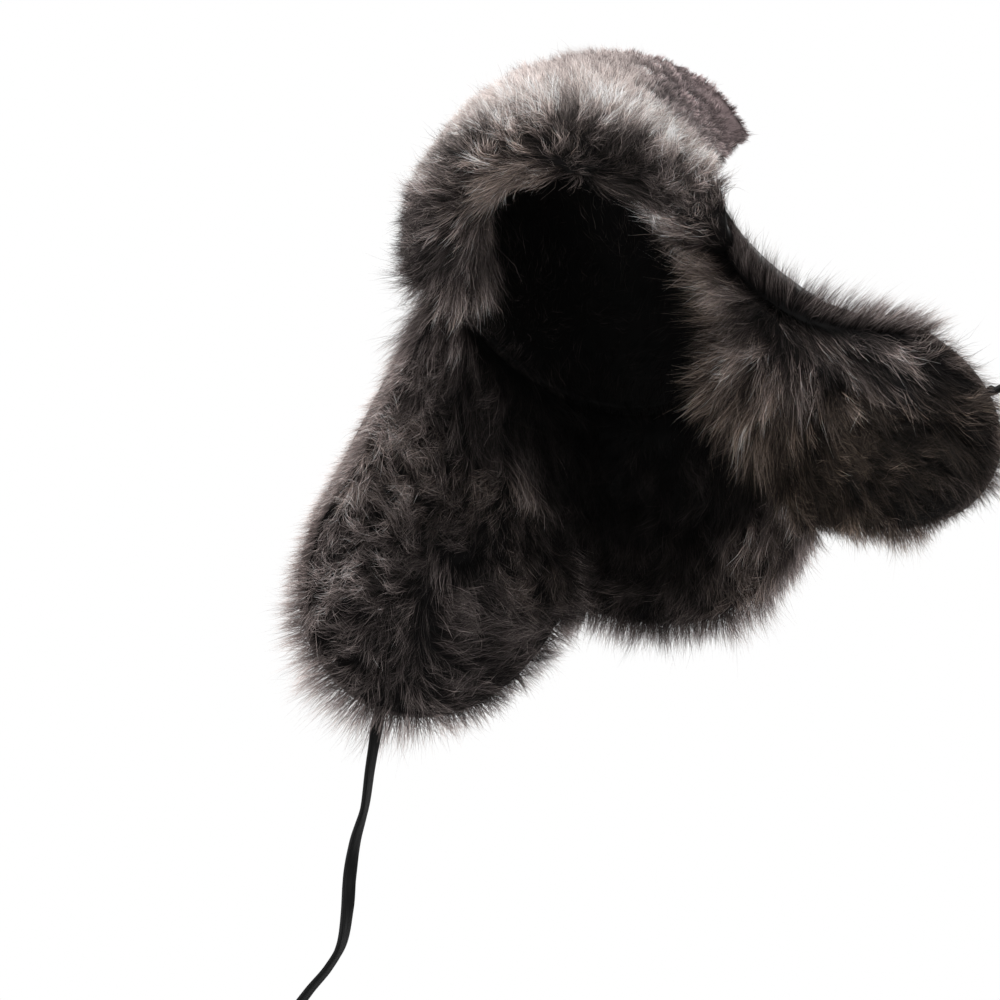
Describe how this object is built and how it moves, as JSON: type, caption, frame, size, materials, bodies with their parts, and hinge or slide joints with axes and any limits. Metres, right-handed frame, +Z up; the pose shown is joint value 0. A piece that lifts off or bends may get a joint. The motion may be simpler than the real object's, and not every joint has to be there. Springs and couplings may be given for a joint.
{
  "type": "shearling trapper hat",
  "caption": "Leather hat lined with long fur, with a turned-up peak, two hanging ear flaps, a neck flap and a flat lace knotted at the end of each ear flap.",
  "frame": {"origin": "centre of the head opening, level with the lower edge of the crown", "axes": "+Z up through the top of the crown, -Y towards the turned-up peak at the front, +X towards the flap that the record calls right, which stands out widest"},
  "size_m": [0.3842, 0.2795, 0.5158],
  "materials": {
    "leather": "smooth near-black leather with a soft shine",
    "lining": "short dense black fur",
    "fur": "long shaggy fur, near-black at the roots and taupe-grey at the tips",
    "pale_fur": "long soft fur, pale beige-grey over dark roots",
    "lace": "flat black lace, slightly shiny"
  },
  "bodies": {
    "root": {"crown_shell": "leather", "crown_lining": "lining", "left_ear_flap": "leather", "neck_flap": "leather", "right_ear_flap": "leather", "front_peak": "leather", "left_tie": "lace", "right_tie": "lace", "left_tie_knot": "lace", "right_tie_knot": "lace", "peak_fur": "pale_fur", "left_flap_fur": "fur", "right_flap_fur": "fur", "neck_fur": "fur"}
  },
  "joints": []
}
